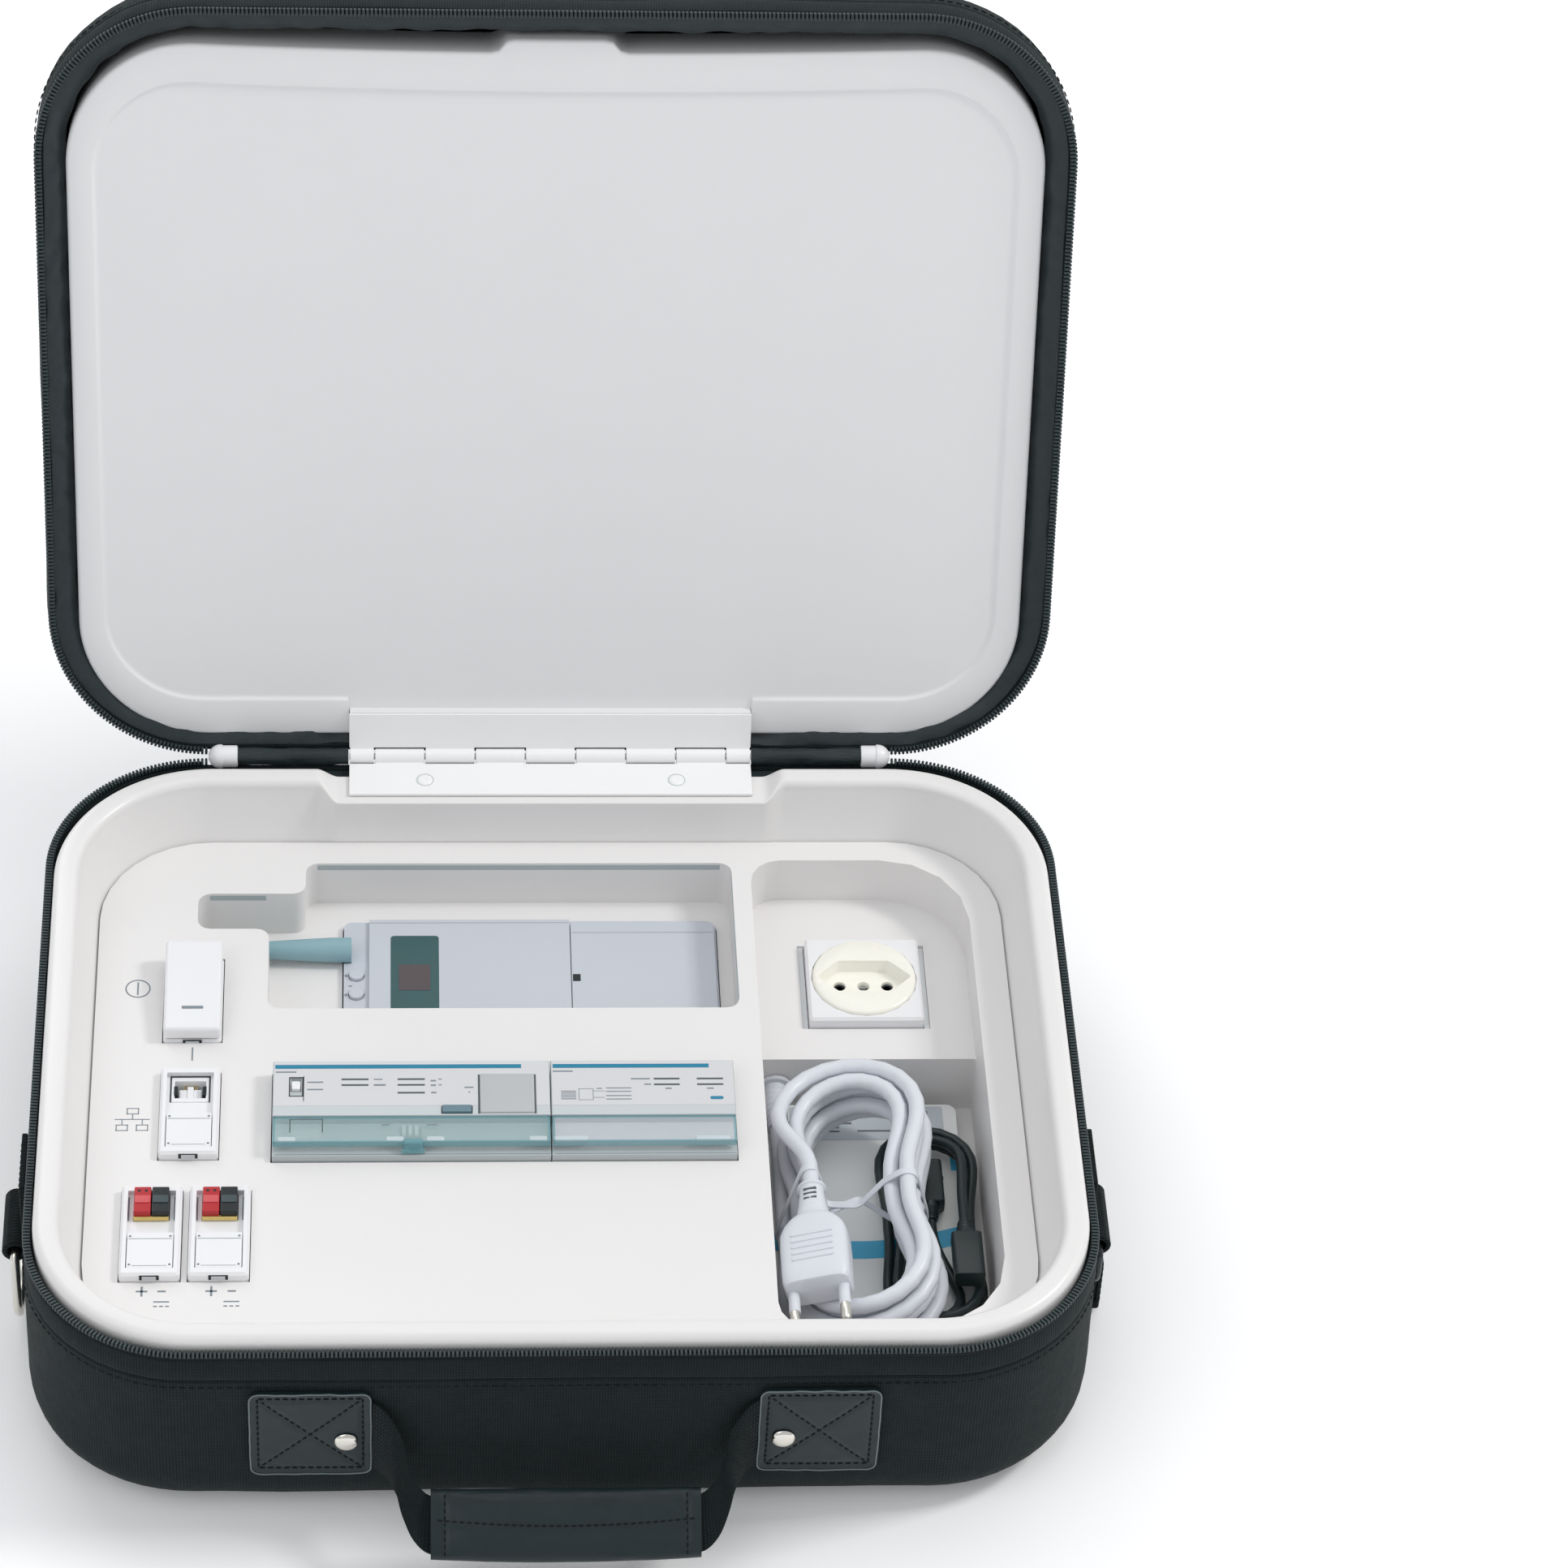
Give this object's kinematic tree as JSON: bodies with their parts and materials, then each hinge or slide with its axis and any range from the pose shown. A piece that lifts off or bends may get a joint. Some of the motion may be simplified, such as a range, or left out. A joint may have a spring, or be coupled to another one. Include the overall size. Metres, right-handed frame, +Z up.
{
  "type": "home automation demonstration case",
  "caption": "Zipped textile case, open, with a hinged lid and a white tray holding rail-mounted control devices, plug-in inserts, a mains socket, a gateway and a cord in an accessory well.",
  "frame": {"origin": "middle of the underside of the base", "axes": "+Z up, -Y towards the side with the carrying handle, +X to the right seen from that side"},
  "size_m": [0.4166, 0.4719, 0.3918],
  "materials": {
    "case_fabric": "woven, matt",
    "lining_cloth": "satin",
    "zip": "satin",
    "tray_plastic": "smooth, semi-gloss",
    "liner_plastic": "fine grain",
    "hinge_enamel": "white enamel",
    "steel": "zinc plated",
    "nickel": "nickel plated",
    "dark_metal": "black",
    "module_plastic": "satin",
    "cover_plastic": "clear, tinted",
    "insert_plastic": "satin",
    "ivory_plastic": "satin",
    "gateway_plastic": "satin",
    "antenna_plastic": "satin",
    "red_plastic": "satin",
    "black_plastic": "satin",
    "leatherette": "embossed",
    "webbing": "woven strap",
    "cord_sheath": "smooth",
    "cable_sheath": "smooth",
    "paper": "coated",
    "jack_plastic": "satin"
  },
  "bodies": {
    "case": {"base_shell": "case_fabric", "base_lining": "lining_cloth", "base_zip": "zip", "hinge_lower_leaf": "hinge_enamel", "hinge_pin": "steel", "spine_fabric_left": "lining_cloth", "spine_fabric_right": "lining_cloth", "tray": "tray_plastic", "deck": "tray_plastic", "din_rail": "steel", "control_module": "module_plastic", "output_module": "module_plastic", "rocker_frame": "insert_plastic", "network_frame": "insert_plastic", "network_jack": "jack_plastic", "socket_frame": "insert_plastic", "socket_insert": "ivory_plastic", "handle_patch_left": "leatherette", "handle_patch_right": "leatherette", "handle_rivet_left": "nickel", "handle_rivet_right": "nickel", "side_tab_left": "webbing", "side_tab_right": "webbing", "cord_grommet": "black_plastic", "mains_cord_lead": "cord_sheath", "mains_cord_hank": "cord_sheath", "mains_plug": "cord_sheath", "cable_hank": "cable_sheath", "cable_plug_1": "black_plastic", "cable_plug_2": "black_plastic", "user_guide": "paper", "bus_frame_1": "insert_plastic", "bus_frame_2": "insert_plastic"},
    "lid": {"lid_shell": "case_fabric", "lid_lining": "lining_cloth", "lid_zip": "zip", "lid_liner": "liner_plastic", "hinge_upper_leaf": "hinge_enamel"},
    "handle": {"handle_strap": "webbing", "handle_grip": "leatherette"},
    "ring_left": {"d_ring_left": "nickel"},
    "ring_right": {"d_ring_right": "dark_metal"},
    "pull": {"webbing_pull": "webbing"},
    "rocker": {"rocker_key": "insert_plastic"},
    "shutter_network": {"network_shutter": "insert_plastic"},
    "shutter_bus_1": {"bus_shutter_1": "insert_plastic"},
    "shutter_bus_2": {"bus_shutter_2": "insert_plastic"},
    "terminal_1": {"bus_terminal_red_1": "red_plastic", "bus_terminal_black_1": "black_plastic"},
    "terminal_2": {"bus_terminal_red_2": "red_plastic", "bus_terminal_black_2": "black_plastic"},
    "cover_control": {"control_label_cover": "cover_plastic"},
    "cover_output": {"output_label_cover": "cover_plastic"},
    "switch_mode": {"mode_switch": "tray_plastic"},
    "button_program": {"program_button": "gateway_plastic"},
    "gateway": {"gateway_housing": "gateway_plastic", "gateway_antenna": "antenna_plastic"},
    "cover_gateway": {"gateway_cover": "gateway_plastic"},
    "button_1": {"gateway_button_1": "gateway_plastic"},
    "button_2": {"gateway_button_2": "gateway_plastic"}
  },
  "joints": [
    {"name": "lid_hinge", "type": "hinge", "parent": "case", "child": "lid", "pos_m": [0, 0.1575, 0.088], "axis": [1, 0, 0], "range_deg": [0, 105]},
    {"name": "handle_swing", "type": "hinge", "parent": "case", "child": "handle", "pos_m": [0, -0.1595, 0.0465], "axis": [-1, 0, 0], "range_deg": [0, 80]},
    {"name": "ring_left_swing", "type": "hinge", "parent": "case", "child": "ring_left", "pos_m": [-0.2033, -0.054, 0.045], "axis": [0, 1, 0], "range_deg": [0, 90]},
    {"name": "ring_right_swing", "type": "hinge", "parent": "case", "child": "ring_right", "pos_m": [0.2033, -0.054, 0.045], "axis": [0, -1, 0], "range_deg": [0, 90]},
    {"name": "pull_swing", "type": "hinge", "parent": "ring_right", "child": "pull", "pos_m": [0.2033, -0.054, 0.026], "axis": [0, -1, 0], "range_deg": [0, 45]},
    {"name": "rocker_tilt", "type": "hinge", "parent": "case", "child": "rocker", "pos_m": [-0.1393, 0.0428, 0.06981], "axis": [-1, 0, 0], "range_deg": [0, 11.8]},
    {"name": "network_shutter_slide", "type": "slide", "parent": "case", "child": "shutter_network", "axis": [0, 1, 0], "range_m": [0, 0.0198]},
    {"name": "bus_shutter_slide_1", "type": "slide", "parent": "case", "child": "shutter_bus_1", "axis": [0, 1, 0], "range_m": [0, 0.007]},
    {"name": "bus_shutter_slide_2", "type": "slide", "parent": "case", "child": "shutter_bus_2", "axis": [0, 1, 0], "range_m": [0, 0.007]},
    {"name": "bus_terminal_pull_1", "type": "slide", "parent": "case", "child": "terminal_1", "axis": [0, 0, 1], "range_m": [0, 0.016]},
    {"name": "bus_terminal_pull_2", "type": "slide", "parent": "case", "child": "terminal_2", "axis": [0, 0, 1], "range_m": [0, 0.016]},
    {"name": "control_cover_flip", "type": "hinge", "parent": "case", "child": "cover_control", "pos_m": [-0.0554, -0.02745, 0.0726], "axis": [-1, 0, 0], "range_deg": [0, 90]},
    {"name": "output_cover_flip", "type": "hinge", "parent": "case", "child": "cover_output", "pos_m": [0.0321, -0.02745, 0.0726], "axis": [-1, 0, 0], "range_deg": [0, 90]},
    {"name": "mode_switch_slide", "type": "slide", "parent": "case", "child": "switch_mode", "axis": [0, 1, 0], "range_m": [0, 0.0024]},
    {"name": "program_button_press", "type": "slide", "parent": "case", "child": "button_program", "axis": [0, 0, -1], "range_m": [0, 0.0006], "stiffness_N_per_m": 200},
    {"name": "gateway_lift", "type": "slide", "parent": "case", "child": "gateway", "axis": [0, 0, 1], "range_m": [0, 0.03]},
    {"name": "gateway_cover_lift", "type": "slide", "parent": "gateway", "child": "cover_gateway", "axis": [0, 0, 1], "range_m": [0, 0.012]},
    {"name": "gateway_button_press_1", "type": "slide", "parent": "gateway", "child": "button_1", "axis": [0, 0, -1], "range_m": [0, 0.0008], "stiffness_N_per_m": 200},
    {"name": "gateway_button_press_2", "type": "slide", "parent": "gateway", "child": "button_2", "axis": [0, 0, -1], "range_m": [0, 0.0008], "stiffness_N_per_m": 200}
  ]
}
